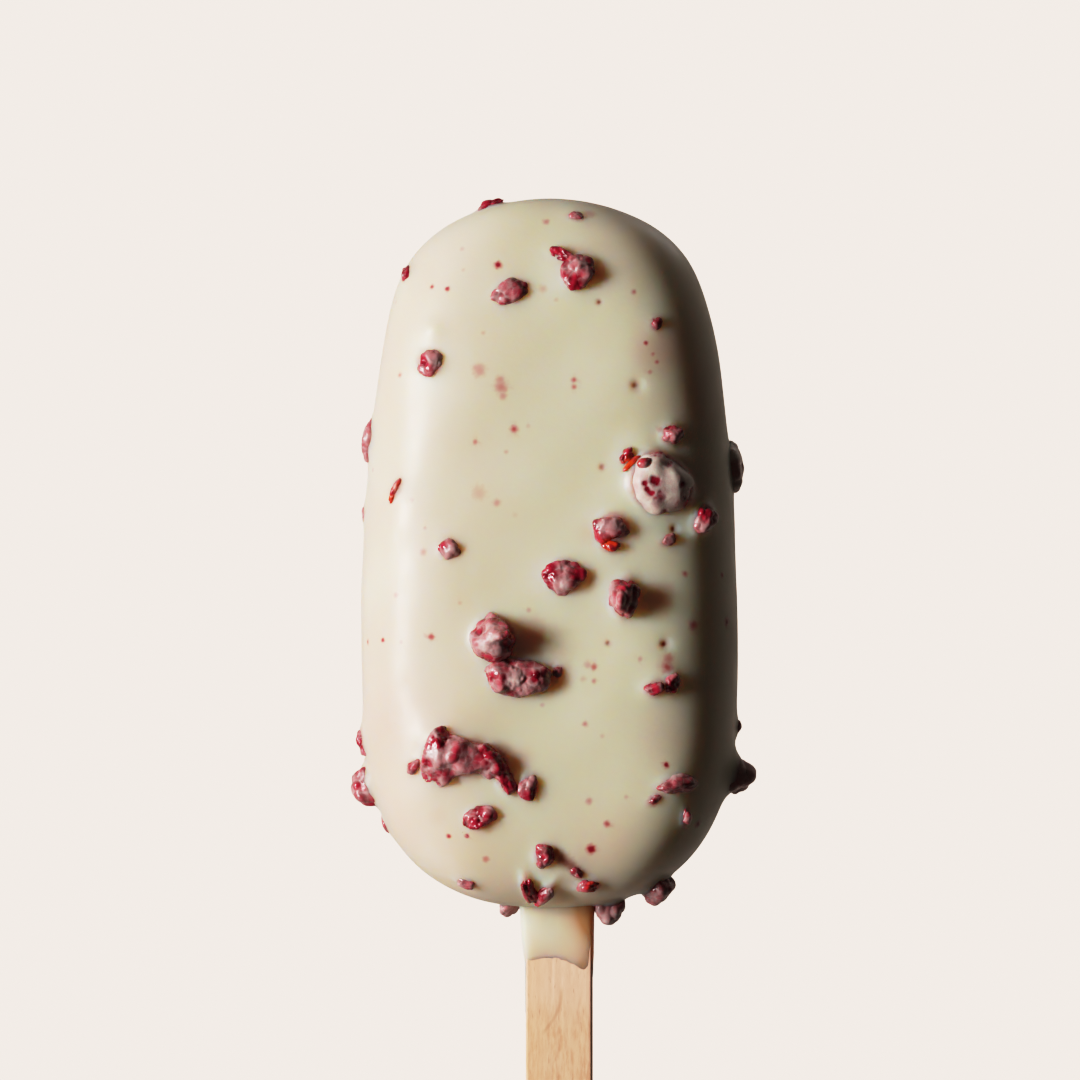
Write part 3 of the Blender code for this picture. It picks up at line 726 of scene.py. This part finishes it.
def coating(material, pieces):
    """The white chocolate: ripples, menisci round the fruit, pits, blots, tints and a trough, with
    painted shade at its left edge, beside tall fruit, in the pits and along the trough.
    """
    pits = [(front_seat(px, py), *sizes) for px, py, *sizes in PITS]
    seats = np.array([seat(piece)[0] for piece in pieces])
    specks = all_specks()
    points, faces = coating_grid(pieces, seats, pits, specks)

    outward = facing(points)
    local = points / MM
    x, y, _ = local.T
    lift = layered(local, COATING_RELIEF) + swell_at(points)
    patchy = 0.80 + 0.4 * waves(local / 9.0, 24)
    # Towards the left edge the coating is painted pinker and browner: partly its own pink tint,
    # partly painted shade that dims the side the key light strikes hardest.
    leftward, edgeward = rise(4, -20, x), rise(-15, -24, x)
    stain_and_shadow_tint = 0.035 + 0.085 * leftward + 0.06 * leftward * rise(0, -35, y)
    stain_and_shadow_tint = (stain_and_shadow_tint + (0.04 + 0.05 * rise(-20, -38, y)) * edgeward) * patchy
    tan = 0.035 * leftward + 0.10 * edgeward
    skirt, hollow_brown_and_shade = np.zeros((2, len(points)))
    for piece, spot in zip(pieces, seats):
        close = apart(points, spot) < max(piece.length, piece.width) / 2 + 4
        out = footprint(points[close], piece)
        on_rim = piece.face in ("left", "right")
        tall = min(1.4, 0.35 * piece.height) if on_rim else min(0.75, 0.25 * piece.height)
        around = tall * falloff(np.maximum(out + 0.15, 0), 1.1 if on_rim else 0.62, 1.3)
        skirt[close] = np.maximum(skirt[close], around)
        halo = HALO * falloff(np.maximum(out - 0.05, 0), 0.38, 1)
        # Painted shadow: a reddish-brown tint on the coating to the right of each tall piece, where
        # its shadow falls.
        beside = spot + ((0.5 * piece.length + 0.35 * piece.height) * MM, 0, 0)
        away = apart(points[close], beside)
        painted_shadow = PAINTED_SHADOW * rise(1.0, 3.0, piece.height)
        painted_shadow = painted_shadow * falloff(away, 0.30 * piece.length + 0.2 * piece.height)
        stain_and_shadow_tint[close] = np.maximum(stain_and_shadow_tint[close], np.maximum(halo, painted_shadow))
    lift += skirt
    # Pits: a real bowl, with the hole painted dark, partly its brown and partly painted shade.
    for spot, radius, bowl, depth, dark in pits:
        lift -= depth * falloff(apart(points, spot + (0.45 * bowl * MM, 0, 0)), bowl, 2.5)
        away = apart(points, spot)
        lift -= 0.12 * falloff(away, radius, 3)
        hollow_brown_and_shade = np.maximum(hollow_brown_and_shade, dark * falloff(away, radius, 3))
        stain_and_shadow_tint = np.maximum(stain_and_shadow_tint, 0.25 * falloff(away, 2.2 * radius))
    # The trough: a slight dip, painted dark brown along it as shade.
    for px, py, radius, strength in TROUGH:
        away = apart(points, front_seat(px, py))
        lift -= 0.10 * falloff(away, radius)
        hollow_brown_and_shade = np.maximum(hollow_brown_and_shade, strength * falloff(away, radius, 3))
    for px, py, radius, strength in STAINS:
        blur = strength * falloff(front_away(points, px, py), radius)
        stain_and_shadow_tint = np.maximum(stain_and_shadow_tint, blur * (outward[:, 2] > 0.1))
    for spot, radius, share in specks:
        away = apart(points, spot)
        close = away < 3 * radius
        away = away[close] / radius * (1 + 0.30 * waves(local[close] / 0.45 + radius * 40, 22))
        blot = share * (0.85 * falloff(away, 1.1, 2.4) + 0.22 * falloff(away, 2))
        stain_and_shadow_tint[close] = np.maximum(stain_and_shadow_tint[close], blot)
        lift[close] += 0.06 * share * falloff(away)
    points = points + outward * (lift * MM)[:, None]
    points[:, 2] = np.maximum(points[:, 2], 0.0)
    looks = {"stain_and_shadow_tint": np.clip(stain_and_shadow_tint, 0, 1), "hollow_brown_and_shade": hollow_brown_and_shade, "tan": tan}
    return mesh_object("coating", points, faces, material, looks)


# ---------------- the film on the stick

FILM_SIDES, FILM_ROWS = 160, 56
FILM_BUILD = 3.2  # millimetres above its edge over which it grows to its full depth
STREAK_LENGTH = 7.2 * MM  # one run of it down the stick's left edge
STREAK_DEPTH = 0.16
STREAK_TURN = 14.0  # degrees to each side
FILM_SPOT = (3.4, -57.8)  # a darker spot at its lower right corner, in millimetres


def on_stick(points, y=0.0):
    """Points turned about the stick's length, and moved to its place."""
    turn = np.array(Matrix.Rotation(STICK_TWIST, 3, "Y"))
    return points @ turn.T + np.array((STICK_X, y, MID_Z))


def collar(material):
    """The film of coating on the stick, thin where the wood shows through it, and painted with
    shade under the bar and down its right side.

    across is -1 at the stick's left to 1 at its right, and front 1 at its front to -1."""
    angles = np.linspace(0, 2 * math.pi, FILM_SIDES, endpoint=False)
    across = np.sign(np.cos(angles)) * np.abs(np.cos(angles)) ** 0.25
    front = np.sign(np.sin(angles)) * np.abs(np.sin(angles)) ** 0.5
    length = COLLAR_LENGTH + COLLAR_SLANT * across + COLLAR_ARCH * across**2
    edge = -END_Y - length + COLLAR_RISE * front * (1 - across**2)
    left = falloff(np.degrees(angles) - 180, STREAK_TURN)
    low = edge - STREAK_LENGTH * left
    side_share = 0.3 + 0.7 * (across < 0) + 0.1 * (front > 0)
    to_right = rise(-0.9, 1.1, across) ** 2.8
    rings, tans_and_shades, thins = [], [], []
    for share in np.linspace(0, 1, FILM_ROWS) ** 1.6:
        y = low + share * (-END_Y + COLLAR_ROOT - low)
        above = np.maximum((y - edge) / MM, 0)
        lip = 0.03 * (1 - np.exp(-above / 0.15)) + 0.97 * (1 - np.exp(-above / FILM_BUILD))
        thick = COLLAR_FILM / MM * lip * side_share
        runs = left * STREAK_DEPTH * (1 - np.exp(-(y - low) / MM / 0.4))
        thick = np.maximum(thick, runs) - 0.03 * np.exp(-above / 0.3)
        wave = waves(np.stack([across * 3, y / MM / 1.5, front * 2], axis=1), 31)
        margin = (thick + 0.03 * wave * (1 - np.exp(-above / 0.8))) * MM
        flare = np.exp(-np.maximum((-END_Y + 0.3 * MM - y) / MM, 0) / 0.7) * MM
        x = across * (STICK_WIDTH / 2 + margin + 0.15 * flare)
        z = front * (STICK_THICKNESS / 2 + margin + 0.9 * flare)
        rings.append(np.stack([x, y, z], axis=1))
        # Painted shadow of the bar's foot on the film near its top, darkest to the right.
        shade = to_right * rise(-55.5, -50.5, y / MM) + 0.12 * rise(-53.0, -50.0, y / MM)
        edge_line = (0.20 - 0.14 * rise(-0.3, 0.6, across)) * np.exp(-above / 0.35)
        # Browner towards the stick's right side: partly wood seen through the film, partly painted
        # shade on the side turned from the light; and a brown line along the film's lower edge.
        tans_and_shades.append(0.76 * to_right + 0.75 * shade + edge_line)
        thins.append(0.72 * np.exp(-above / 1.9))
    points = np.concatenate([*rings, [(0, edge.max(), 0), (0, rings[-1][:, 1].mean(), 0)]])
    x, y, _ = points.T / MM
    spot = np.exp(-((x - FILM_SPOT[0]) ** 2 / 0.9 + (y - FILM_SPOT[1]) ** 2))
    tan = np.concatenate([*tans_and_shades, [0.5, 0.2]]) + 0.35 * spot
    stain_and_shadow_tint = 0.08 + 0.08 * rise(-52.0, -57.0, y)
    looks = {"stain_and_shadow_tint": stain_and_shadow_tint, "tan": np.clip(tan, 0, 1), "thin": np.concatenate([*thins, [0, 0]])}
    faces = ring_faces(FILM_ROWS, FILM_SIDES)
    return mesh_object("stick_film", on_stick(points), faces, material, looks)


# ---------------- the stick

END_RINGS, LENGTH_RINGS, FACE_POINTS = 25, 320, 41
GRAIN_HEIGHT = 0.020 * MM

# The dark curl in the grain: where its middle is across and how far it bends to the left, then
# its half-width, and the height where it is upright and that of its lower end, in millimetres.
CURL_X, CURL_BEND, CURL_WIDTH = 0.45, 2.4, 0.30
CURL_UPPER, CURL_LOWER = -61.5, -66.9


def stick_section(half):
    """Half of the way round the stick's cross-section, for one half-width: x and z."""
    edge = min(STICK_EDGE, 0.9 * half)
    top = STICK_THICKNESS / 2
    points = [(share * (half - edge), top) for share in np.linspace(-1, 1, FACE_POINTS)]
    for turn in np.radians((30, 60, 90)):
        points.append((half - edge + edge * math.sin(turn), top - edge + edge * math.cos(turn)))
    points += [(half, share * (top - edge)) for share in (0.4, -0.4)]
    return points


def stick(material):
    """The wooden stick as rings along its length, with softened edges and a raised grain."""
    radius = STICK_WIDTH / 2
    straight = STICK_LENGTH / 2 - radius
    turns = np.linspace(0, math.pi / 2, END_RINGS + 1)[:-1]
    round_end = straight + radius * np.sin(turns)
    widths = radius * np.cos(turns)
    stations = [(-y, half) for y, half in zip(round_end[::-1], widths[::-1])]
    stations += [(y, radius) for y in np.linspace(-straight, straight, LENGTH_RINGS)[1:-1]]
    stations += list(zip(round_end, widths))
    points = []
    for y, half in stations:
        front = stick_section(half)
        points += [(x, y, z) for x, z in front] + [(-x, y, -z) for x, z in front]
    faces = ring_faces(len(stations), len(points) // len(stations))
    tip = STICK_LENGTH / 2
    points = np.array([*points, (0, -tip, 0), (0, tip, 0)])
    local = points / MM
    bend = 0.5 * waves(local / (3.0, 14.0, 9.0), 42)
    lines = waves((local + (bend[:, None] * (1, 0, 0))) * (1.7, 0.07, 1.2), 40)
    lines += 0.7 * waves(local * (3.6, 0.15, 2.0), 41)
    points[:, 2] += np.sign(points[:, 2]) * GRAIN_HEIGHT * lines
    y = local[:, 1] + STICK_Y / MM
    bent = np.clip((CURL_UPPER - y) / (CURL_UPPER - CURL_LOWER), 0, 1) ** 2
    curl = falloff(local[:, 0] - (CURL_X - CURL_BEND * bent), CURL_WIDTH)
    curl *= rise(-68.0, -66.5, y) * rise(-60.0, -62.0, y) * (local[:, 2] > 0)
    looks = {"lines": lines, "curl": curl}
    return mesh_object("wooden_stick", on_stick(points, STICK_Y), faces, material, looks)


# ---------------- materials

IVORY = (0.80, 0.75, 0.56), (0.82, 0.77, 0.59)
WOOD_THROUGH_FILM = (0.97, 0.60, 0.43)
BROWN_SHADE = (0.45, 0.23, 0.085)
PINK, BLOT_RED, HOLLOW_BROWN_AND_SHADE = (0.62, 0.22, 0.20), (0.36, 0.012, 0.035), (0.30, 0.07, 0.045)
BEECH = (0.68, 0.36, 0.21), (0.81, 0.46, 0.295)
GRAIN_LINE, CURL_BROWN, FLECK_BROWN = (0.58, 0.33, 0.19), (0.50, 0.27, 0.14), (0.38, 0.20, 0.11)
BEECH_PATCH, BEECH_UPPER, BEECH_LEFT = (0.82, 0.48, 0.32), (0.90, 0.52, 0.39), (0.90, 0.46, 0.27)


class Look:
    """The nodes of a new material or world, with short calls for the ones that are used here."""

    def __init__(self, name, kind=bpy.data.materials):
        self.owner = kind.new(name)
        self.owner.use_nodes = True
        self.nodes, self.links = self.owner.node_tree.nodes, self.owner.node_tree.links

    @functools.cached_property
    def place(self):
        return self.made("ShaderNodeTexCoord", "Object", {})

    def made(self, kind, output, inputs, **settings):
        """A new node's output, with its settings, and its inputs linked or set."""
        node = self.nodes.new(kind)
        for name, value in settings.items():
            setattr(node, name, value)
        self.fill(node, inputs)
        return node.outputs[output]

    def fill(self, node, inputs):
        for name, value in inputs.items():
            if hasattr(value, "links"):
                self.links.new(value, node.inputs[name])
            else:
                node.inputs[name].default_value = value

    def attribute(self, name, output="Fac"):
        return self.made("ShaderNodeAttribute", output, {}, attribute_name=name)

    def noise(self, scale, detail=3.0, stretch=(1, 1, 1)):
        inputs = {"Vector": self.place, "Scale": stretch}
        vector = self.made("ShaderNodeMapping", "Vector", inputs)
        inputs = {"Vector": vector, "Scale": scale, "Detail": detail}
        return self.made("ShaderNodeTexNoise", "Fac", inputs)

    def ranged(self, value, low, high, to_low=0.0, to_high=1.0, steps="SMOOTHSTEP"):
        inputs = {"Value": value, "From Min": low, "From Max": high}
        inputs |= {"To Min": to_low, "To Max": to_high}
        return self.made("ShaderNodeMapRange", "Result", inputs, interpolation_type=steps)

    def mixed(self, share, first, second, way="MIX"):
        ends = [(*end, 1.0) if isinstance(end, tuple) else end for end in (first, second)]
        inputs = {"Factor": share, "A": ends[0], "B": ends[1]}
        return self.made("ShaderNodeMix", "Result", inputs, data_type="RGBA", blend_type=way)

    def bumps(self, height, strength, distance):
        inputs = {"Height": height, "Strength": strength, "Distance": distance}
        return self.made("ShaderNodeBump", "Normal", inputs)

    def shaded(self, colour, roughness, normal, specular, below=()):
        """The finished material. below is light under the surface: share, reach and scale."""
        inputs = {"Base Color": colour, "Roughness": roughness, "Normal": normal}
        inputs["Specular IOR Level"] = specular
        for name, value in zip(("Weight", "Radius", "Scale"), below):
            inputs[f"Subsurface {name}"] = value
        self.fill(self.nodes["Principled BSDF"], inputs)
        return self.owner


def chocolate():
    look = Look("white_chocolate")
    colour = look.mixed(look.ranged(look.noise(90.0), 0.35, 0.65), *IVORY)
    colour = look.mixed(look.attribute("thin"), colour, WOOD_THROUGH_FILM)
    # Brown: painted shade at the bar's left edge and on the stick's film, and the film's own brown
    # where wood shows through it.
    colour = look.mixed(look.attribute("tan"), colour, BROWN_SHADE)
    stain_and_shadow_tint = look.attribute("stain_and_shadow_tint")
    # Pink: the fruit's own stains, with painted shade at the left edge and painted shadow beside
    # tall fruit.
    colour = look.mixed(look.ranged(stain_and_shadow_tint, 0.0, 0.55, steps="LINEAR"), colour, PINK)
    colour = look.mixed(look.ranged(stain_and_shadow_tint, 0.45, 0.9), colour, BLOT_RED)
    # Painted shade in the pit holes and along the trough, partly the pits' brown.
    colour = look.mixed(look.attribute("hollow_brown_and_shade"), colour, HOLLOW_BROWN_AND_SHADE)
    rough = look.ranged(look.noise(260.0), 0.3, 0.7, 0.36, 0.46)
    normal = look.bumps(look.noise(1400.0, 4.0), 0.25, 0.06 * MM)
    return look.shaded(colour, rough, normal, 0.42, (1.0, (1.0, 0.64, 0.36), 6.6 * MM))


def raspberry():
    look = Look("raspberry")
    speckle = look.ranged(look.noise(2600.0), 0.3, 0.75, 0.0, 0.5)
    tint = look.attribute("tint", "Color")
    colour = look.mixed(speckle, tint, (0.92, 0.82, 0.82), "MULTIPLY")
    rough = look.ranged(look.attribute("gloss"), 0.0, 1.0, 0.50, 0.16)
    normal = look.bumps(look.noise(3800.0, 3.0), 0.55, 0.08 * MM)
    return look.shaded(colour, rough, normal, 0.5, (0.45, (1.0, 0.32, 0.25), 0.8 * MM))


def beech():
    look = Look("beech_wood")
    streaks = look.noise(2300.0, 4.0, (1.0, 0.24, 1.0))
    blotches = look.noise(520.0, 3.0, (1.0, 0.45, 1.0))
    flecks = look.noise(3600.0, 2.0, (1.0, 0.14, 1.0))
    colour = look.mixed(look.ranged(streaks, 0.34, 0.66), *BEECH)
    lines = look.ranged(look.attribute("lines"), -0.2, 0.9, 0.0, 0.22)
    colour = look.mixed(lines, colour, GRAIN_LINE)
    patch = look.ranged(blotches, 0.40, 0.62, 0.0, 0.45)
    colour = look.mixed(patch, colour, BEECH_PATCH)
    axes = look.made("ShaderNodeSeparateXYZ", "X", {"Vector": look.place}).node.outputs
    upper = look.ranged(axes["Y"], -67.5 * MM, -60.5 * MM, 0.0, 0.6)
    colour = look.mixed(upper, colour, BEECH_UPPER)
    lower_left = look.ranged(axes["X"], 1.0 * MM, -3.0 * MM, 0.0, 0.35)
    colour = look.mixed(lower_left, colour, BEECH_LEFT)
    colour = look.mixed(look.ranged(flecks, 0.62, 0.74, 0.0, 0.40), colour, FLECK_BROWN)
    curl = look.ranged(look.attribute("curl"), 0, 1, 0, 0.5)
    colour = look.mixed(curl, colour, CURL_BROWN)
    rough = look.ranged(streaks, 0.3, 0.7, 0.70, 0.56)
    return look.shaded(colour, rough, look.bumps(streaks, 0.35, 0.10 * MM), 0.35)


# ---------------- the object


def place_piece(made, nodes):
    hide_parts(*nodes)
    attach(made, "root")


def lobes_of(pieces, seed, rounding, grown):
    return [
        lobe_form(piece, seed + i, FINE_BALL, rounding, grown) for i, piece in enumerate(pieces)
    ]


def large_fruit(material):
    """Each large piece as one body of melted lobes, with its film and relief."""
    for number, (name, lobes) in enumerate(LARGE_PIECES.items()):
        forms = lobes_of(lobes, 10 * number, FRUIT_ROUNDING, LARGE_GROWN)
        body = filled(forms, LARGE_GRID, LARGE_GROWN, LARGE_PASSES)
        crumb = dressed(*body, 10 * number, film=0.32, relief=0.8)
        place_piece(crumbs_object(f"{name}_fruit", [crumb], material), [name])


def lump(material):
    """The lump that the coating has run over, and the bits of fruit that stick to it."""
    forms = lobes_of(COATED_LUMP, LUMP_SEED, LUMP_ROUNDING, LUMP_GROWN)
    points, faces = filled(forms, LUMP_GRID, LUMP_GROWN, LUMP_PASSES)
    body = dressed(points, faces, LUMP_SEED, film=0.95, relief=0.12)
    place_piece(crumbs_object("coated_lump", [body], material), ["coated_bar"])
    crumbs = []
    for seed, (px, py, long, wide, turn) in enumerate(LUMP_BITS, start=BITS_SEED):
        x, y = on_front(px, py, 3.0)
        below = points[apart(points[:, :2], (x * MM, y * MM)) < 0.4]
        piece = Piece(x, y, long, wide, 0.8 * wide + 0.3, turn, sunk=0.3)
        form_points, form_faces = lobe_form(piece, seed, COARSE_BALL, FRUIT_ROUNDING)
        if len(below):
            form_points[:, 2] += below[:, 2].max() - form_points[:, 2].mean()
        crumbs.append(dressed(form_points, form_faces, seed, film=0.0, relief=0.5, cell=0.7))
    return crumbs


def small_fruit(material, others):
    """The small pieces, as one mesh for the upper front, one for the lower and one behind."""
    groups = {"upper": list(others), "lower": [], "rim": []}
    for seed, piece in enumerate((*SMALL_PIECES, *back_pieces()), start=SMALL_SEED):
        detail = FINE_BALL if piece.length > 2.7 and piece.face != "back" else PLAIN_BALL
        film = random.Random(seed).uniform(0.14, 0.34)
        form = lobe_form(piece, seed, detail, FRUIT_ROUNDING)
        cell = 1.15 if piece.length > 2.5 else 0.85
        half = "rim" if piece.face != "front" else "upper" if piece.v > 0 else "lower"
        groups[half].append(dressed(*form, seed, film, min(1.0, piece.width / 2.4), cell))
    for half, crumbs in groups.items():
        made = crumbs_object(f"raspberry_bits_{half}", crumbs, material)
        place_piece(made, ["coated_bar"])


def build_object():
    ivory, berry = chocolate(), raspberry()
    large = [lobe for lobes in LARGE_PIECES.values() for lobe in lobes]
    skin = coating(ivory, [*large, *COATED_LUMP, *SMALL_PIECES, *back_pieces()])
    place_piece(skin, ["coated_bar"])
    place_piece(collar(ivory), ["coated_bar"])
    large_fruit(berry)
    small_fruit(berry, lump(berry))
    place_piece(stick(beech()), ["stick"])


# ---------------- floor, light and camera

BACKDROP = (0.887, 0.840, 0.799)  # as shown, before the film response is undone
FLOOR_HALF = 3.0  # metres
FLOOR_GLINT = 0.35  # how bright the floor is in reflections, beside its look to the camera
FILL_COLOUR, FILL_STRENGTH = (1.0, 0.93, 0.86, 1.0), 0.015
LENS, SENSOR = 190.5, 36.0  # millimetres

KEY_RISE = math.radians(31.5)
LIGHT_DISTANCE = 0.8  # metres

# Soft lights aimed at the bar's middle: the direction they stand in, their width and height in
# metres, their watts and which way is up for them.
LIGHTS = {
    "key": ((-math.cos(KEY_RISE), 0.08, math.sin(KEY_RISE)), 0.14, 0.34, 4.22, (0, 1, 0)),
    "crown_side": ((-0.5, 0.85, 0.12), 0.3, 0.3, 0.27, (0, 0, 1)),
    "crown_rim": ((0.48, 0.66, -0.58), 0.3, 0.3, 0.16, (0, 0, 1)),
    "foot_side": ((-0.6, -0.75, 0.12), 0.3, 0.3, 0.26, (0, 0, 1)),
}

# Light that reaches the film, and how bright it is shown.
FILM_RESPONSE = (
    (0.016, 0.02), (0.06, 0.11), (0.14, 0.32), (0.25, 0.6), (0.38, 0.75), (0.56, 0.86),
    (0.96, 0.98),
)


def soft_light(name, direction, wide, tall, watts, up):
    lamp = bpy.data.lights.new(name, "AREA")
    lamp.shape = "RECTANGLE"
    lamp.size, lamp.size_y = wide, tall
    lamp.energy = watts
    back = Vector(direction).normalized()
    right = Vector(up).cross(back).normalized()
    axes = Matrix((right, back.cross(right), back)).transposed().to_4x4()
    axes.translation = Vector((0, 0, MID_Z)) + back * LIGHT_DISTANCE
    linked(name, lamp).matrix_world = axes


def film_input(scene, wanted):
    """Sets a soft film response, and finds the light that it shows as the wanted colour."""
    view = scene.view_settings
    view.view_transform = "Standard"
    view.look = "None"
    view.exposure, view.gamma = 0.0, 1.0
    view.use_curve_mapping = True
    response = view.curve_mapping
    curve = response.curves[3]
    curve.points[0].location = (0, 0)
    curve.points[1].location = FILM_RESPONSE[-1]
    for light, shown in FILM_RESPONSE[:-1]:
        curve.points.new(light, shown)
    response.update()
    response.initialize()
    found = []
    for goal in wanted:
        low, high = 0.0, FILM_RESPONSE[-1][0]
        for _ in range(HALVINGS):
            middle = (low + high) / 2
            below = response.evaluate(curve, middle) < goal
            low, high = (middle, high) if below else (low, middle)
        found.append(low)
    return found


def build_floor(backdrop):
    """A plain floor that glows like the backdrop, and takes no shadow, as in the photo."""
    mesh = bpy.data.meshes.new("floor")
    corners = [(x * FLOOR_HALF, y * FLOOR_HALF, 0) for x, y in ((-1, -1), (1, -1), (1, 1), (-1, 1))]
    mesh.from_pydata(corners, [], [(0, 1, 2, 3)])
    floor = linked("floor", mesh)
    look = Look("pale_backdrop")
    seen = look.made("ShaderNodeLightPath", "Is Camera Ray", {})
    inputs = {"Color": backdrop, "Strength": look.ranged(seen, 0, 1, FLOOR_GLINT, 1.0)}
    glow = look.made("ShaderNodeEmission", "Emission", inputs)
    look.fill(look.nodes["Material Output"], {"Surface": glow})
    mesh.materials.append(look.owner)
    floor.visible_diffuse = False
    floor.visible_shadow = False


def build_world(backdrop):
    """The backdrop to the camera, and a faint warm fill to everything else."""
    look = Look("studio", bpy.data.worlds)
    bpy.context.scene.world = look.owner
    inputs = {"Color": FILL_COLOUR, "Strength": FILL_STRENGTH}
    lit = look.made("ShaderNodeBackground", "Background", inputs)
    shown = look.nodes["Background"]
    look.fill(shown, {"Color": backdrop, "Strength": 1.0})
    seen = look.made("ShaderNodeLightPath", "Is Camera Ray", {})
    inputs = {"Fac": seen, 1: lit, 2: shown.outputs["Background"]}
    both = look.made("ShaderNodeMixShader", "Shader", inputs)
    look.fill(look.nodes["World Output"], {"Surface": both})


def build_stage():
    scene = bpy.context.scene
    backdrop = (*film_input(scene, BACKDROP), 1.0)
    build_floor(backdrop)
    build_world(backdrop)
    for name, light in LIGHTS.items():
        soft_light(name, *light)
    lens = bpy.data.cameras.new("camera")
    lens.lens, lens.sensor_width, lens.clip_end = LENS, SENSOR, 10
    scene.camera = linked("camera", lens)
    scene.camera.location = (CAMERA_U * MM, CAMERA_V * MM, MID_Z + CAMERA_DISTANCE * MM)


build_object()
build_stage()
